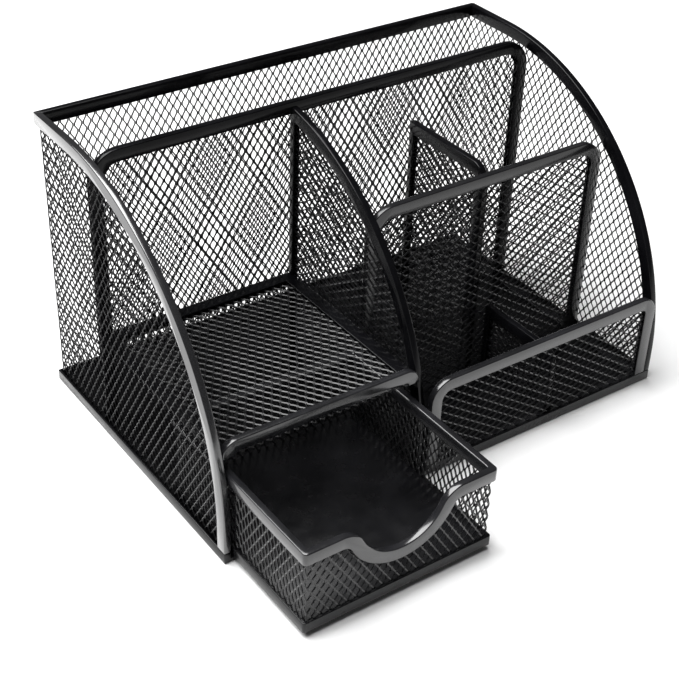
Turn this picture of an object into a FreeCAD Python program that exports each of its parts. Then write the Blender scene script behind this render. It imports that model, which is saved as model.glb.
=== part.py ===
import FreeCAD, Part
import math
import os
from FreeCAD import Vector

os.makedirs("parts", exist_ok=True)

# Desk organizer of expanded steel sheet with folded edge strips. Millimetres.
# X runs to the right, Y to the back, Z up. Z = 0 is the desk top.
# X = 0 and Y = 0 are the middle of the case; the drawer is drawn partly pulled out.

# case, overall
WIDTH = 220.0
DEPTH = 140.0
HEIGHT = 128.0
FRONT_EDGE = 14.0
SIDE_RADIUS = HEIGHT - FRONT_EDGE

# expanded sheet and the U-shaped strip folded over its edges
SHEET = 1.0
STRIP_METAL = 1.0
STRIP_LEG = 5.5
STRIP = SHEET + 2 * STRIP_METAL
REAR_LEG = 3.0

# base
BASE_RIM_HEIGHT = 4.5
BASE_RIM_METAL = 1.0
LEDGE = 0.8
LEDGE_WIDTH = 6.0

# full-width divider behind the drawer and the right-hand bays
REAR_DIVIDER_Y = 27.5
REAR_DIVIDER_DROP = 1.5
REAR_DIVIDER_TOP = HEIGHT - REAR_DIVIDER_DROP
REAR_DIVIDER_ROUND = 13.0

# divider between the drawer side and the right-hand bays
CENTRE_X = -17.8
CENTRE_STEP = 2.5

# cross divider of the right-hand bays
LETTER_Y = -25.0
LETTER_DROP = 28.0
LETTER_TOP = HEIGHT - LETTER_DROP
LETTER_ROUND = 12.0

# low panel across the front of the right-hand bays
FRONT_TOP = 44.8
FRONT_ROUND_LEFT = 10.0
FRONT_ROUND_RIGHT = 8.0

# two small partitions
REAR_PARTITION_X = 44.1
REAR_PARTITION_DROP = 26.0
REAR_PARTITION_TOP = HEIGHT - REAR_PARTITION_DROP
FRONT_PARTITION_X = 50.6
FRONT_PARTITION_TOP = 34.5
PARTITION_ROUND = 8.0

# shelf over the drawer and its raised front lip
SHELF_Z = 44.0
LIP_SET_BACK = 5.0
LIP_TOP = 52.0
LIP_ROUND = 6.5

# drawer
DRAWER_OUT = 47.6
DRAWER_DEPTH = 92.0
DRAWER_TOP = 39.5
DRAWER_GAP_LEFT = 0.6
DRAWER_GAP_RIGHT = 3.0
DRAWER_GAP_BELOW = 0.4
PAN_HEIGHT = 4.6
PAN_METAL = 0.8
SCOOP_DEPTH = 17.0
SCOOP_RADIUS = 19.5
SHOULDER_RADIUS = 10.0

# places that follow from the sizes above
RIGHT = WIDTH / 2
LEFT = -RIGHT
REAR = DEPTH / 2
FRONT = -REAR
FOOT = SHEET + LEDGE
WALL_FACE = RIGHT - STRIP_METAL - SHEET
STRIP_FACE = RIGHT - STRIP
CENTRE_RIGHT = CENTRE_X + STRIP
CENTRE_SHEET_LEFT = CENTRE_X + STRIP_METAL
CENTRE_SHEET_RIGHT = CENTRE_SHEET_LEFT + SHEET
REAR_SHEET_Y = REAR_DIVIDER_Y + STRIP_METAL
LETTER_SHEET_Y = LETTER_Y + STRIP_METAL
LETTER_BACK = LETTER_Y + STRIP
FRONT_SHEET_BACK = FRONT + STRIP_METAL + SHEET
ALONG_X = Vector(1, 0, 0)
ALONG_Y = Vector(0, 1, 0)


def box(x0, x1, y0, y1, z0, z1):
    return Part.makeBox(x1 - x0, y1 - y0, z1 - z0, Vector(x0, y0, z0))


def across(y):
    return lambda a, z: Vector(a, y, z)


def lengthwise(x):
    return lambda a, z: Vector(x, a, z)


def face_of(edges):
    return Part.Face(Part.Wire(edges))


def arc(place, centre, radius, start, end):
    points = []
    for angle in (start, (start + end) / 2, end):
        a = centre[0] + radius * math.cos(angle)
        z = centre[1] + radius * math.sin(angle)
        points.append(place(a, z))
    return Part.Arc(*points).toShape()


def arch(place, a0, a1, z0, z1, round0, round1):
    """Upright panel outline with a rounded corner at each end of its top."""
    edges = [Part.makeLine(place(a1, z0), place(a0, z0))]
    edges.append(Part.makeLine(place(a0, z0), place(a0, z1 - round0)))
    if round0 > 0:
        edges.append(arc(place, (a0 + round0, z1 - round0), round0, math.pi, math.pi / 2))
    edges.append(Part.makeLine(place(a0 + round0, z1), place(a1 - round1, z1)))
    if round1 > 0:
        edges.append(arc(place, (a1 - round1, z1 - round1), round1, math.pi / 2, 0))
    edges.append(Part.makeLine(place(a1, z1 - round1), place(a1, z0)))
    return face_of(edges)


def arched(place, a0, a1, z1, round0=0.0, round1=0.0, leg1=STRIP_LEG):
    """Outline of a panel with straight edges, as a function of how far in it is drawn."""
    def outline(inset, z0):
        r0 = max(round0 - inset, 0)
        r1 = max(round1 - inset, 0)
        return arch(place, a0 + inset, a1 - min(inset, leg1), z0, z1 - inset, r0, r1)
    return outline


def curved(place, rear, step, leg1=0.0):
    """Outline of a side: upright front edge, quarter circle, short level top."""
    centre = (FRONT + SIDE_RADIUS, HEIGHT - SIDE_RADIUS)

    def outline(inset, z0):
        radius = SIDE_RADIUS - step - inset
        back = rear - min(inset, leg1)
        reach = min(back - centre[0], 0)
        start = math.acos(reach / radius)
        top = centre[1] + radius * math.sin(start)
        edges = [arc(place, centre, radius, start, math.pi)]
        edges.append(Part.makeLine(place(centre[0] - radius, centre[1]), place(centre[0] - radius, z0)))
        edges.append(Part.makeLine(place(centre[0] - radius, z0), place(back, z0)))
        edges.append(Part.makeLine(place(back, z0), place(back, top)))
        if back > centre[0]:
            edges.append(Part.makeLine(place(back, top), place(centre[0], top)))
        return face_of(edges)
    return outline


def panel(outline, along, sheet_foot, strip_foot):
    """Sheet and edge strip of one panel. The strip is open along the foot of the panel."""
    outer = outline(0, strip_foot).extrude(along * STRIP)
    inner = outline(STRIP_LEG, strip_foot - 1).extrude(along * STRIP)
    sheet = outline(STRIP_METAL, sheet_foot).extrude(along * SHEET)
    sheet.translate(along * STRIP_METAL)
    return sheet, outer.cut(inner).cut(sheet)


def corner_wedge(x_sign):
    """Everything on the side strip's part of the mitre at a back corner."""
    size = 4 * STRIP
    corner = Vector(x_sign * RIGHT, REAR, -1)
    inward = Vector(x_sign * (RIGHT - size), REAR - size, -1)
    beside = Vector(x_sign * (RIGHT - size), REAR + 1, -1)
    wire = Part.makePolygon([corner, inward, beside, corner + Vector(0, 1, 0), corner])
    return Part.Face(wire).extrude(Vector(0, 0, HEIGHT + 2))


nodes = {}

# outer wall: one sheet bent round the two back corners
left_outline = curved(lengthwise(LEFT), REAR, 0)
right_outline = curved(lengthwise(STRIP_FACE), REAR, 0)
left_sheet, left_strip = panel(left_outline, ALONG_X, FOOT, BASE_RIM_HEIGHT)
right_sheet, right_strip = panel(right_outline, ALONG_X, FOOT, BASE_RIM_HEIGHT)
outer_x = RIGHT - STRIP_METAL
outer_y = REAR - STRIP_METAL
wall_top = HEIGHT - STRIP_METAL
back_sheet = box(-outer_x, outer_x, outer_y - SHEET, outer_y, FOOT, wall_top)
trim = box(LEFT, RIGHT, outer_y, REAR + 1, 0, HEIGHT)
wall_mesh = back_sheet.fuse([left_sheet.cut(trim), right_sheet.cut(trim)]).removeSplitter()
back_band = box(LEFT, RIGHT, REAR - STRIP, REAR, HEIGHT - STRIP_LEG, HEIGHT)
nodes["wall_mesh"] = wall_mesh
nodes["rim_left"] = left_strip.cut(corner_wedge(-1)).cut(wall_mesh)
nodes["rim_right"] = right_strip.cut(corner_wedge(1)).cut(wall_mesh)
nodes["rim_back"] = back_band.common(corner_wedge(-1).fuse(corner_wedge(1)).fuse(
    box(LEFT + 2 * STRIP, RIGHT - 2 * STRIP, REAR - STRIP, REAR, 0, HEIGHT))).cut(wall_mesh)

# base: plain flat sheet with an angle strip round its edge, low across the drawer opening
base_x = RIGHT - BASE_RIM_METAL
base_y = REAR - BASE_RIM_METAL
nodes["base_sheet"] = box(-base_x, base_x, -base_y, base_y, 0, SHEET)
angle = box(LEFT, RIGHT, FRONT, REAR, 0, BASE_RIM_HEIGHT)
angle = angle.cut(box(-base_x, base_x, -base_y, base_y, -1, BASE_RIM_HEIGHT + 1))
ledge = box(-base_x, base_x, -base_y, base_y, SHEET, FOOT)
ledge_x = RIGHT - LEDGE_WIDTH
ledge_y = REAR - LEDGE_WIDTH
ledge = ledge.cut(box(-ledge_x, ledge_x, -ledge_y, ledge_y, 0, FOOT + 1))
opening = box(-STRIP_FACE, CENTRE_RIGHT, FRONT - 1, -base_y, FOOT, BASE_RIM_HEIGHT + 1)
nodes["base_rim"] = angle.fuse(ledge).cut(opening).removeSplitter()

# full-width rear divider
outline = arched(across(REAR_DIVIDER_Y), -WALL_FACE, WALL_FACE, REAR_DIVIDER_TOP,
                 REAR_DIVIDER_ROUND, REAR_DIVIDER_ROUND)
sheet, strip = panel(outline, ALONG_Y, FOOT, FOOT)
nodes["rear_divider_mesh"] = sheet
nodes["rear_divider_rim"] = strip

# centre divider, curved like the sides
outline = curved(lengthwise(CENTRE_X), REAR_SHEET_Y, CENTRE_STEP, REAR_LEG)
sheet, strip = panel(outline, ALONG_X, FOOT, FOOT)
nodes["centre_divider_mesh"] = sheet
nodes["centre_divider_rim"] = strip.cut(nodes["rear_divider_rim"])

# cross divider of the right-hand bays
outline = arched(across(LETTER_Y), CENTRE_SHEET_RIGHT, WALL_FACE, LETTER_TOP,
                 LETTER_ROUND, LETTER_ROUND)
sheet, strip = panel(outline, ALONG_Y, FOOT, FOOT)
nodes["letter_divider_mesh"] = sheet
nodes["letter_divider_rim"] = strip

# low front panel
outline = arched(across(FRONT), CENTRE_RIGHT, STRIP_FACE, FRONT_TOP,
                 FRONT_ROUND_LEFT, FRONT_ROUND_RIGHT)
sheet, strip = panel(outline, ALONG_Y, FOOT, BASE_RIM_HEIGHT)
nodes["front_panel_mesh"] = sheet
nodes["front_panel_rim"] = strip

# partition between the rear divider and the cross divider
outline = arched(lengthwise(REAR_PARTITION_X), LETTER_BACK, REAR_SHEET_Y, REAR_PARTITION_TOP,
                 PARTITION_ROUND, 0, REAR_LEG)
sheet, strip = panel(outline, ALONG_X, SHEET, SHEET)
nodes["rear_partition_mesh"] = sheet
nodes["rear_partition_rim"] = strip

# partition between the cross divider and the front panel
outline = arched(lengthwise(FRONT_PARTITION_X), FRONT_SHEET_BACK, LETTER_SHEET_Y,
                 FRONT_PARTITION_TOP, PARTITION_ROUND, 0, REAR_LEG)
sheet, strip = panel(outline, ALONG_X, FOOT, FOOT)
nodes["front_partition_mesh"] = sheet
nodes["front_partition_rim"] = strip

# shelf over the drawer: one sheet, its front edge bent up as a lip
lip_y = FRONT + LIP_SET_BACK
shelf_top = SHELF_Z + SHEET
outline = arched(across(lip_y), -STRIP_FACE, CENTRE_X, LIP_TOP, LIP_ROUND, LIP_ROUND)
lip_sheet, lip_strip = panel(outline, ALONG_Y, SHELF_Z, shelf_top)
shelf_sheet = box(-STRIP_FACE, CENTRE_X, lip_y + STRIP_METAL, REAR_DIVIDER_Y, SHELF_Z, shelf_top)
nodes["shelf_mesh"] = shelf_sheet.fuse(lip_sheet).removeSplitter()
nodes["shelf_lip_rim"] = lip_strip

# strip round the left, rear and right edges of the shelf
frame_z0 = SHELF_Z - STRIP_METAL
frame_z1 = shelf_top + STRIP_METAL
frame_y = lip_y + STRIP
outer = box(-WALL_FACE, CENTRE_SHEET_LEFT, frame_y, REAR_SHEET_Y, frame_z0, frame_z1)
inner = box(-WALL_FACE + STRIP_LEG, CENTRE_SHEET_LEFT - STRIP_LEG,
            frame_y - 1, REAR_SHEET_Y - STRIP_LEG, frame_z0, frame_z1)
shelf_frame = outer.cut(inner).cut(nodes["shelf_mesh"])
for name in ("rim_left", "centre_divider_rim", "rear_divider_rim"):
    shelf_frame = shelf_frame.cut(nodes[name])
nodes["shelf_frame"] = shelf_frame

# drawer, pulled out by DRAWER_OUT
x0 = -STRIP_FACE + DRAWER_GAP_LEFT
x1 = CENTRE_X - DRAWER_GAP_RIGHT
y0 = FRONT - DRAWER_OUT
y1 = y0 + DRAWER_DEPTH
pan_bottom = FOOT + DRAWER_GAP_BELOW
pan_top = pan_bottom + PAN_HEIGHT
pan = box(x0, x1, y0, y1, pan_bottom, pan_top)
hollow = box(x0 + PAN_METAL, x1 - PAN_METAL, y0 + PAN_METAL, y1 - PAN_METAL,
             pan_bottom - 1, pan_top - PAN_METAL)
nodes["drawer_floor"] = pan.cut(hollow)


def scooped(place, side, inset, z0):
    """Drawer front outline: level shoulders, rounded over into the finger scoop."""
    middle = (x0 + x1) / 2
    both = SCOOP_RADIUS + SHOULDER_RADIUS
    rise = both - SCOOP_DEPTH
    run = math.sqrt(both ** 2 - rise ** 2)
    lean = math.atan2(rise, run)
    shoulder = DRAWER_TOP - SHOULDER_RADIUS
    bowl = (middle, DRAWER_TOP - SCOOP_DEPTH + SCOOP_RADIUS)
    top = DRAWER_TOP - inset
    a0 = x0 + side
    a1 = x1 - side
    small = SHOULDER_RADIUS - inset
    quarter = math.pi / 2
    edges = [Part.makeLine(place(a1, z0), place(a0, z0))]
    edges.append(Part.makeLine(place(a0, z0), place(a0, top)))
    edges.append(Part.makeLine(place(a0, top), place(middle - run, top)))
    edges.append(arc(place, (middle - run, shoulder), small, quarter, lean))
    edges.append(arc(place, bowl, SCOOP_RADIUS + inset, lean - math.pi, -lean))
    edges.append(arc(place, (middle + run, shoulder), small, math.pi - lean, quarter))
    edges.append(Part.makeLine(place(middle + run, top), place(a1, top)))
    edges.append(Part.makeLine(place(a1, top), place(a1, z0)))
    return face_of(edges)


m = STRIP_METAL
leg_foot = DRAWER_TOP - STRIP_LEG
front_wall = scooped(across(y0 + m), m, m, pan_top).extrude(ALONG_Y * SHEET)
wall_z = DRAWER_TOP - m
walls = [box(x0 + m, x0 + m + SHEET, y0 + m, y1 - m, pan_top, wall_z)]
walls.append(box(x1 - m - SHEET, x1 - m, y0 + m, y1 - m, pan_top, wall_z))
walls.append(box(x0 + m, x1 - m, y1 - m - SHEET, y1 - m, pan_top, wall_z))
nodes["drawer_walls"] = front_wall.fuse(walls).removeSplitter()

low_foot = DRAWER_TOP - SCOOP_DEPTH - 2 * STRIP_LEG
front_band = scooped(across(y0), 0, 0, low_foot).extrude(ALONG_Y * STRIP)
front_band = front_band.cut(scooped(across(y0), -1, STRIP_LEG, low_foot - 1).extrude(ALONG_Y * STRIP))
bars = [box(x0, x0 + STRIP, y0, y1, leg_foot, DRAWER_TOP)]
bars.append(box(x1 - STRIP, x1, y0, y1, leg_foot, DRAWER_TOP))
bars.append(box(x0, x1, y1 - STRIP, y1, leg_foot, DRAWER_TOP))
nodes["drawer_rim"] = front_band.fuse(bars).cut(nodes["drawer_walls"]).removeSplitter()

for name, shape in nodes.items():
    if shape.ShapeType == "Compound" and len(shape.Solids) == 1:
        shape = shape.Solids[0]
    print(name, shape.isValid(), len(shape.Solids), round(shape.Volume))
    shape.exportStep("parts/" + name + ".step")
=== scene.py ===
import math

import bmesh
import bpy
from mathutils import Matrix, Vector
from mathutils.bvhtree import BVHTree


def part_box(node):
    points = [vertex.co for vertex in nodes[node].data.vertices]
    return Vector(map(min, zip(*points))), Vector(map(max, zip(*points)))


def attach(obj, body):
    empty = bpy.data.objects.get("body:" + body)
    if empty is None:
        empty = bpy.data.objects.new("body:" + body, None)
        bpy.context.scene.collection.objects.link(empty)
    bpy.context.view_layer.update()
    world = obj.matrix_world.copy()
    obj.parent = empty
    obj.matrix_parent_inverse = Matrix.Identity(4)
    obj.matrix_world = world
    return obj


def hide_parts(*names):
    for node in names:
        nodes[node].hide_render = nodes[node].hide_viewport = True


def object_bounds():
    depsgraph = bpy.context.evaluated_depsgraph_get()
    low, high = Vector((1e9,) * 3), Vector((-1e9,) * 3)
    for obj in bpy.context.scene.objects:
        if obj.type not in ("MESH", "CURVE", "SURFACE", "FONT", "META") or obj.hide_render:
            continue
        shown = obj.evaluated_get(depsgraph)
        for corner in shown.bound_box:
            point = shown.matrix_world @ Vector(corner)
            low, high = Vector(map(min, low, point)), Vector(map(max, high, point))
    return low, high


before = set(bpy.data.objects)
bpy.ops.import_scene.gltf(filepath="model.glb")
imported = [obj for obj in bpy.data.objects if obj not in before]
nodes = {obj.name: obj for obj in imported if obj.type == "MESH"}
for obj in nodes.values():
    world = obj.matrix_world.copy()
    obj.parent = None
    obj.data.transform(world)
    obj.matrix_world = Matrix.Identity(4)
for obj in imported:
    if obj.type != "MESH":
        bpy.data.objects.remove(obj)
cad_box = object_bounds()
scene = bpy.context.scene

# expanded sheet, metres
HALF_SHEET = 0.0005    # from the face of a CAD sheet to its middle
LONG = 0.0060          # long way of one diamond
SHORT = 0.0039         # short way of one diamond
SHORT_OPEN = 0.0041    # the same, on the cross divider and the front panel
STRAND = 0.00060       # width of one strand
GAUGE = 0.00048        # thickness of one strand
BOND = 0.0010          # length of a knuckle, where two strands meet
STEP = 0.00012         # how far a strand leans to the front and back of the sheet
TILT = 0.44            # turn of a strand about its own length, radians
DRAWER_TILT = 0.30     # the same, on the drawer
PROBE = 0.003          # how far off the sheet the rays that find its outline start
HALVINGS = 9           # steps that find where a strand crosses the outline

# strips
EDGE_ROUND = 0.00045   # rounding of the folded strips
THIN_ROUND = 0.0003    # rounding of the base band and the drawer floor
PLATE_ROUND = 0.0002   # rounding of the base sheet
RIM_CORNER = 0.0018    # upright corners of the drawer's strip
PAN_CORNER = 0.0012    # upright corners of the drawer's floor
SAME_POINT = 1e-6      # points closer than this are one
AT_CORNER = 1e-5       # an edge this close to the outermost planes is a corner
FLAT_ANGLE = math.radians(0.8)
SHARP_ANGLE = math.radians(32)
SHADE_ANGLE = math.radians(40)

# paint patterns, per metre
CLOUD_SCALE = 60.0
GLOSS_SCALE = 180.0
PEEL_SCALE = 900.0
PEEL_DEPTH = 0.00005   # metres
DUST_SCALE = 170.0

# stage, light and camera
STAGE_HALF = 4.0
STAGE_DROP = 0.0003    # the floor lies this far under the rest face
WORLD_STRENGTH = 0.08
KEY_PLACE = (-0.45, 0.35, 1.5)
KEY_SIZE = (1.5, 1.5)
KEY_WATTS = 62.0
LENS = 75.7
SENSOR = 36.0
CAMERA_PLACE = (-0.31222, -0.41626, 0.37978)
AZIMUTH = math.radians(36.007)
ELEVATION = math.radians(34.902)
ROLL = math.radians(2.077)


# ---------------------------------------------------------------- materials

def new_material(name):
    mat = bpy.data.materials.new(name)
    mat.use_nodes = True
    tree = mat.node_tree
    return mat, tree, tree.nodes["Principled BSDF"]


def texture(tree, kind, scale, detail=2.0):
    coords = tree.nodes.new("ShaderNodeTexCoord")
    tex = tree.nodes.new(kind)
    tex.inputs["Scale"].default_value = scale
    if "Detail" in tex.inputs:
        tex.inputs["Detail"].default_value = detail
    tree.links.new(coords.outputs["Object"], tex.inputs["Vector"])
    return tex


def ramp(tree, source, low, high, start=0.35, end=0.65):
    node = tree.nodes.new("ShaderNodeMapRange")
    node.inputs["From Min"].default_value = start
    node.inputs["From Max"].default_value = end
    node.inputs["To Min"].default_value = low
    node.inputs["To Max"].default_value = high
    tree.links.new(source, node.inputs["Value"])
    return node.outputs["Result"]


def specks(tree, density):
    """Sparse grains of dust: one small spot in some of the cells of a Voronoi pattern."""
    cells = texture(tree, "ShaderNodeTexVoronoi", density)
    spot = ramp(tree, cells.outputs["Distance"], 1.0, 0.0, 0.02, 0.05)
    chance = ramp(tree, cells.outputs["Color"], 0.0, 1.0, 0.66, 0.72)
    both = tree.nodes.new("ShaderNodeMath")
    both.operation = "MULTIPLY"
    tree.links.new(spot, both.inputs[0])
    tree.links.new(chance, both.inputs[1])
    return both.outputs["Value"]


def paint(name, dark, light, rough, rough_more, bump, gloss, coat, dust=None):
    """Black stoved paint: cloudy colour, uneven gloss, a fine orange peel and, if asked, grains of dust."""
    mat, tree, bsdf = new_material(name)
    cloud = texture(tree, "ShaderNodeTexNoise", CLOUD_SCALE, 3.0)
    mix = tree.nodes.new("ShaderNodeMix")
    mix.data_type = "RGBA"
    mix.inputs["A"].default_value = dark
    mix.inputs["B"].default_value = light
    tree.links.new(ramp(tree, cloud.outputs["Fac"], 0.0, 1.0), mix.inputs["Factor"])
    colour = mix.outputs["Result"]
    if dust:
        dusty = tree.nodes.new("ShaderNodeMix")
        dusty.data_type = "RGBA"
        dusty.inputs["B"].default_value = (0.16, 0.16, 0.16, 1)
        tree.links.new(specks(tree, dust), dusty.inputs["Factor"])
        tree.links.new(colour, dusty.inputs["A"])
        colour = dusty.outputs["Result"]
    tree.links.new(colour, bsdf.inputs["Base Color"])
    uneven = texture(tree, "ShaderNodeTexNoise", GLOSS_SCALE, 2.0)
    tree.links.new(ramp(tree, uneven.outputs["Fac"], rough, rough_more), bsdf.inputs["Roughness"])
    peel = texture(tree, "ShaderNodeTexNoise", PEEL_SCALE, 1.0)
    node = tree.nodes.new("ShaderNodeBump")
    node.inputs["Strength"].default_value = bump
    node.inputs["Distance"].default_value = PEEL_DEPTH
    tree.links.new(peel.outputs["Fac"], node.inputs["Height"])
    tree.links.new(node.outputs["Normal"], bsdf.inputs["Normal"])
    bsdf.inputs["Specular IOR Level"].default_value = gloss
    bsdf.inputs["Coat Weight"].default_value = coat
    bsdf.inputs["Coat Roughness"].default_value = 0.06
    return mat


# Gloss and colour differ from strip to strip because they stand in for light that isn't modelled: a lighter,
# glossier copy of the paint is painted highlight, a darker, duller copy is painted shade.
strip_paint = paint("strip_gloss", (0.008, 0.008, 0.009, 1), (0.014, 0.014, 0.016, 1),
                    0.17, 0.23, 0.12, gloss=0.75, coat=0.25)
# Painted highlight: the left rim's paint is lighter and glossier than the other strips, standing in for light
# from the left that no lamp gives.
left_rim_highlight_paint = paint("left_rim_painted_highlight", (0.010, 0.010, 0.011, 1), (0.016, 0.016, 0.018, 1),
                   0.17, 0.23, 0.12, gloss=1.0, coat=0.9)
# Painted shade: the letter divider's strip is painted darker and less glossy than the front strips.
letter_shade_paint = paint("letter_painted_shade", (0.007, 0.007, 0.008, 1), (0.012, 0.012, 0.013, 1),
                     0.17, 0.23, 0.12, gloss=0.6, coat=0.0)
# Painted shade: the strips of the dividers, partitions, shelf frame and the right and back rims are painted
# much darker and less glossy than the front strips.
inner_shade_paint = paint("inner_painted_shade", (0.002, 0.002, 0.0025, 1), (0.005, 0.005, 0.006, 1),
                    0.15, 0.21, 0.10, gloss=0.18, coat=0.0)
# Painted shade: the base band and the drawer floor are painted darker and less glossy, for the shadowed floor
# their low faces reflect near the object.
band_shade_paint = paint("band_painted_shade", (0.003, 0.003, 0.0035, 1), (0.007, 0.007, 0.008, 1),
                   0.20, 0.28, 0.12, gloss=0.35, coat=0.0)
mesh_paint = paint("mesh_satin", (0.002, 0.002, 0.0025, 1), (0.006, 0.006, 0.007, 1),
                   0.22, 0.34, 0.10, gloss=0.45, coat=0.1)
floor_paint = paint("sheet_gloss", (0.001, 0.001, 0.0012, 1), (0.003, 0.003, 0.0035, 1),
                    0.18, 0.26, 0.10, gloss=0.22, coat=0.0, dust=DUST_SCALE)


# ---------------------------------------------------------------- strips

def keep_only(obj, mat):
    obj.data.materials.clear()
    obj.data.materials.append(mat)


def round_corners(bm, radius):
    """Rounds the outermost upright edges, where a band turns a corner."""
    x = [v.co.x for v in bm.verts]
    y = [v.co.y for v in bm.verts]
    upright = []
    for e in bm.edges:
        a = e.verts[0].co
        b = e.verts[1].co
        at_x = min(abs(a.x - min(x)), abs(a.x - max(x))) < AT_CORNER
        at_y = min(abs(a.y - min(y)), abs(a.y - max(y))) < AT_CORNER
        if at_x and at_y and (a - b).xy.length < SAME_POINT:
            upright.append(e)
    bmesh.ops.bevel(bm, geom=upright, offset=radius, offset_type="OFFSET", segments=5,
                    profile=0.5, affect="EDGES", clamp_overlap=True)


def merge_flats(bm, ring):
    """Merges flat triangles into whole faces. A ring is cut in four first, since a face can't have a hole."""
    kept = set()
    if ring:
        centre = sum((v.co for v in bm.verts), Vector()) / len(bm.verts)
        for axis in (0, 1):
            normal = Vector((1, 0, 0)) if axis == 0 else Vector((0, 1, 0))
            everything = bm.verts[:] + bm.edges[:] + bm.faces[:]
            bmesh.ops.bisect_plane(bm, geom=everything, dist=1e-7, plane_co=centre, plane_no=normal)
        for e in bm.edges:
            for axis in (0, 1):
                if all(abs(v.co[axis] - centre[axis]) < SAME_POINT for v in e.verts):
                    kept.add(e)
    bmesh.ops.dissolve_limit(bm, angle_limit=FLAT_ANGLE, verts=bm.verts,
                             edges=[e for e in bm.edges if e not in kept])


def rounded(node, name, body, mat, radius=EDGE_ROUND, segments=2, corner=0.0, ring=False):
    """The CAD piece with its sharp edges rounded as folded, painted metal is."""
    source = nodes[node].data
    bm = bmesh.new()
    bm.from_mesh(source)
    bmesh.ops.remove_doubles(bm, verts=bm.verts, dist=SAME_POINT)
    merge_flats(bm, ring)
    if corner > 0:
        round_corners(bm, corner)
    sharp = [e for e in bm.edges if len(e.link_faces) == 2 and e.calc_face_angle(0.0) > SHARP_ANGLE]
    bmesh.ops.bevel(bm, geom=sharp, offset=radius, offset_type="OFFSET", segments=segments,
                    profile=0.5, affect="EDGES", clamp_overlap=True)
    bmesh.ops.triangulate(bm, faces=[f for f in bm.faces if len(f.verts) > 4], ngon_method="EAR_CLIP")
    mesh = bpy.data.meshes.new(name)
    bm.to_mesh(mesh)
    bm.free()
    obj = bpy.data.objects.new(name, mesh)
    scene.collection.objects.link(obj)
    keep_only(obj, mat)
    mesh.shade_smooth()
    mesh.set_sharp_from_angle(angle=SHADE_ANGLE)
    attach(obj, body)
    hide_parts(node)
    return obj


# ---------------------------------------------------------------- expanded sheet

class Chart:
    """A flat or bent sheet: runs of straight path in one plane, and straight across it."""

    def __init__(self, path, across, normals):
        self.path = [Vector(p) for p in path]
        self.across = Vector(across)
        self.normals = [Vector(n) for n in normals]
        self.starts = [0.0]
        for a, b in zip(self.path, self.path[1:]):
            self.starts.append(self.starts[-1] + (b - a).length)
        self.length = self.starts[-1]

    def at(self, s, h):
        k = 0
        while k < len(self.normals) - 1 and s > self.starts[k + 1]:
            k += 1
        a = self.path[k]
        b = self.path[k + 1]
        return a + (b - a).normalized() * (s - self.starts[k]) + self.across * h, self.normals[k]


def expanded(node, name, body, chart, low, high, along_path, short_way=SHORT, tilt=-TILT):
    """Zigzag strands that meet at knuckles, laid over the chart inside the CAD sheet's outline.

    The long way of the diamonds runs along the chart's path, or across it if along_path is False.
    """
    tree = BVHTree.FromPolygons([v.co.copy() for v in nodes[node].data.vertices],
                                [tuple(p.vertices) for p in nodes[node].data.polygons])

    def place(a, b):
        return chart.at(a, b) if along_path else chart.at(b, a)

    def inside(a, b):
        point, normal = place(a, b)
        return tree.ray_cast(point + normal * PROBE, -normal, 2 * PROBE)[0] is not None

    ends = (0.0, chart.length, low, high) if along_path else (low, high, 0.0, chart.length)
    a0, a1, b0, b1 = ends
    pitch = short_way / 2
    swing = pitch / 2 - STRAND / 2
    corners = []
    for sa, sn in ((-1, -1), (1, -1), (1, 1), (-1, 1)):
        u = sa * STRAND / 2
        n = sn * GAUGE / 2
        corners.append((u * math.cos(tilt) - n * math.sin(tilt), u * math.sin(tilt) + n * math.cos(tilt)))
    verts = []
    faces = []

    def add_run(run):
        if len(run) < 2:
            return
        first = len(verts)
        for a, b, side in run:
            for u, n in corners:
                point, normal = place(a, b + u)
                verts.append(point + normal * (n + side * STEP))
        for k in range(len(run) - 1):
            i = first + 4 * k
            for j in range(4):
                m = (j + 1) % 4
                faces.append((i + j, i + m, i + 4 + m, i + 4 + j))
        faces.append((first + 3, first + 2, first + 1, first))
        last = first + 4 * (len(run) - 1)
        faces.append((last, last + 1, last + 2, last + 3))

    def crossing(good, bad):
        for _ in range(HALVINGS):
            mid = tuple((g + w) / 2 for g, w in zip(good, bad))
            if inside(mid[0], mid[1]):
                good = mid
            else:
                bad = mid
        return good

    count = int((b1 - b0) / pitch) + 2
    for i in range(-1, count):
        centre = b0 + (i + 0.5) * pitch
        points = []
        k = -1
        while a0 + (k - 1) * LONG / 2 < a1 + LONG:
            side = 1 if (k + i) % 2 == 0 else -1
            middle = a0 + k * LONG / 2
            for end in (-BOND / 2, BOND / 2):
                points.append((middle + end, centre + side * swing, side))
            k += 1
        states = [inside(p[0], p[1]) for p in points]
        run = []
        for q, p in enumerate(points):
            if states[q]:
                if not run and q > 0:
                    run.append(crossing(p, points[q - 1]))
                run.append(p)
            elif run:
                run.append(crossing(points[q - 1], p))
                add_run(run)
                run = []
        add_run(run)
    mesh = bpy.data.meshes.new(name)
    mesh.from_pydata(verts, [], faces)
    mesh.validate()
    bm = bmesh.new()
    bm.from_mesh(mesh)
    bmesh.ops.recalc_face_normals(bm, faces=bm.faces)
    bm.to_mesh(mesh)
    bm.free()
    obj = bpy.data.objects.new(name, mesh)
    scene.collection.objects.link(obj)
    keep_only(obj, mesh_paint)
    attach(obj, body)
    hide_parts(node)
    return obj


X = Vector((1, 0, 0))
Y = Vector((0, 1, 0))
Z = Vector((0, 0, 1))


def corners_of(node):
    lo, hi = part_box(node)
    return Vector(lo), Vector(hi)


def flat_across(node, name, **more):
    """A sheet that stands across the case, facing the front."""
    lo, hi = corners_of(node)
    y = (lo.y + hi.y) / 2
    chart = Chart([(lo.x, y, 0), (hi.x, y, 0)], Z, [-Y])
    return expanded(node, name, "case", chart, lo.z, hi.z, **more)


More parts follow.
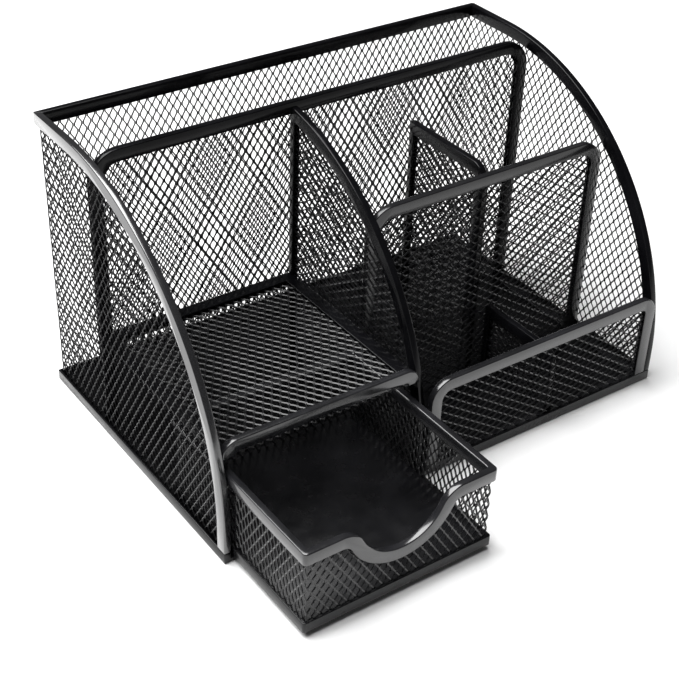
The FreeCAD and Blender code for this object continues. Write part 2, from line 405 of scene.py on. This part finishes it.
def flat_lengthwise(node, name, **more):
    """A sheet that stands front to back, facing left."""
    lo, hi = corners_of(node)
    x = (lo.x + hi.x) / 2
    chart = Chart([(x, lo.y, 0), (x, hi.y, 0)], Z, [-X])
    return expanded(node, name, "case", chart, lo.z, hi.z, **more)


# outer wall, bent round the back corners
lo, hi = corners_of("wall_mesh")
xa, xb, ya, yb = lo.x + HALF_SHEET, hi.x - HALF_SHEET, lo.y, hi.y - HALF_SHEET
wall = Chart([(xa, ya, 0), (xa, yb, 0), (xb, yb, 0), (xb, ya, 0)], Z, [-X, Y, X])
expanded("wall_mesh", "wall_expanded", "case", wall, lo.z, hi.z, along_path=False)

flat_across("rear_divider_mesh", "rear_divider_expanded", along_path=False)
flat_across("letter_divider_mesh", "letter_divider_expanded", along_path=True, short_way=SHORT_OPEN)
flat_across("front_panel_mesh", "front_panel_expanded", along_path=True, short_way=SHORT_OPEN)
flat_lengthwise("centre_divider_mesh", "centre_divider_expanded", along_path=True)
flat_lengthwise("rear_partition_mesh", "rear_partition_expanded", along_path=True)
flat_lengthwise("front_partition_mesh", "front_partition_expanded", along_path=True)

# shelf and its raised lip, one sheet
lo, hi = corners_of("shelf_mesh")
lip_y = lo.y + HALF_SHEET
shelf_z = lo.z + HALF_SHEET
shelf = Chart([(0, lip_y, hi.z), (0, lip_y, shelf_z), (0, hi.y, shelf_z)], X, [-Y, Z])
expanded("shelf_mesh", "shelf_expanded", "case", shelf, lo.x, hi.x, along_path=True, tilt=TILT)

# drawer walls, one band round the drawer
lo, hi = corners_of("drawer_walls")
xa, xb, ya, yb = lo.x + HALF_SHEET, hi.x - HALF_SHEET, lo.y + HALF_SHEET, hi.y - HALF_SHEET
ring = Chart([(xa, yb, 0), (xa, ya, 0), (xb, ya, 0), (xb, yb, 0), (xa, yb, 0)], Z, [-X, -Y, X, Y])
expanded("drawer_walls", "drawer_expanded", "drawer", ring, lo.z, hi.z, along_path=False, tilt=-DRAWER_TILT)

# The left rim takes the lighter, glossier paint, a painted highlight.
rounded("rim_left", "rim_left_strip", "case", left_rim_highlight_paint)
# The letter divider's strip takes the darker paint, painted shade.
rounded("letter_divider_rim", "letter_divider_rim_strip", "case", letter_shade_paint)
for node in ("front_panel_rim", "shelf_lip_rim"):
    rounded(node, node + "_strip", "case", strip_paint)
# These strips take the darker paint, painted shade.
for node in ("rim_right", "rim_back", "rear_divider_rim", "centre_divider_rim", "rear_partition_rim",
             "front_partition_rim", "shelf_frame"):
    rounded(node, node + "_strip", "case", inner_shade_paint)
rounded("base_sheet", "base_plate", "case", floor_paint, PLATE_ROUND)
# The base band and the drawer floor take the darker paint, painted shade.
rounded("base_rim", "base_rim_strip", "case", band_shade_paint, THIN_ROUND, ring=True)
rounded("drawer_rim", "drawer_rim_strip", "drawer", strip_paint, corner=RIM_CORNER, ring=True)
rounded("drawer_floor", "drawer_pan", "drawer", band_shade_paint, THIN_ROUND,
        corner=PAN_CORNER, ring=True)


# ---------------------------------------------------------------- stage, light, camera

def stage_floor():
    mesh = bpy.data.meshes.new("stage_floor")
    z = cad_box[0][2] - STAGE_DROP
    square = [(-1, -1), (1, -1), (1, 1), (-1, 1)]
    mesh.from_pydata([(x * STAGE_HALF, y * STAGE_HALF, z) for x, y in square], [], [(0, 1, 2, 3)])
    obj = bpy.data.objects.new("stage_floor", mesh)
    scene.collection.objects.link(obj)
    mat, tree, bsdf = new_material("stage_white")
    bsdf.inputs["Base Color"].default_value = (0.9, 0.9, 0.9, 1)
    bsdf.inputs["Roughness"].default_value = 0.9
    bsdf.inputs["Specular IOR Level"].default_value = 0.0
    keep_only(obj, mat)


def area_light(name, place, target, size, power):
    light = bpy.data.lights.new(name, "AREA")
    light.shape = "RECTANGLE"
    light.size = size[0]
    light.size_y = size[1]
    light.energy = power
    obj = bpy.data.objects.new(name, light)
    obj.location = place
    obj.rotation_euler = (Vector(target) - Vector(place)).to_track_quat("-Z", "Y").to_euler()
    scene.collection.objects.link(obj)


stage_floor()
world = bpy.data.worlds.new("studio")
world.use_nodes = True
world.node_tree.nodes["Background"].inputs["Color"].default_value = (1.0, 1.0, 1.0, 1)
world.node_tree.nodes["Background"].inputs["Strength"].default_value = WORLD_STRENGTH
scene.world = world
area_light("key", KEY_PLACE, (0.0, 0.0, 0.0), KEY_SIZE, KEY_WATTS)

camera = bpy.data.cameras.new("camera")
camera.lens = LENS
camera.sensor_width = SENSOR
camera.clip_start = 0.01
eye = bpy.data.objects.new("camera", camera)
look = Vector((math.sin(AZIMUTH) * math.cos(ELEVATION), math.cos(AZIMUTH) * math.cos(ELEVATION),
               -math.sin(ELEVATION)))
right = look.cross(Z).normalized()
up = right.cross(look)
right_rolled = right * math.cos(ROLL) + up * math.sin(ROLL)
up_rolled = right_rolled.cross(look)
place = Vector(CAMERA_PLACE)
rows = [(right_rolled[i], up_rolled[i], -look[i], place[i]) for i in range(3)]
eye.matrix_world = Matrix(rows + [(0, 0, 0, 1)])
scene.collection.objects.link(eye)
scene.camera = eye
scene.view_settings.view_transform = "Standard"
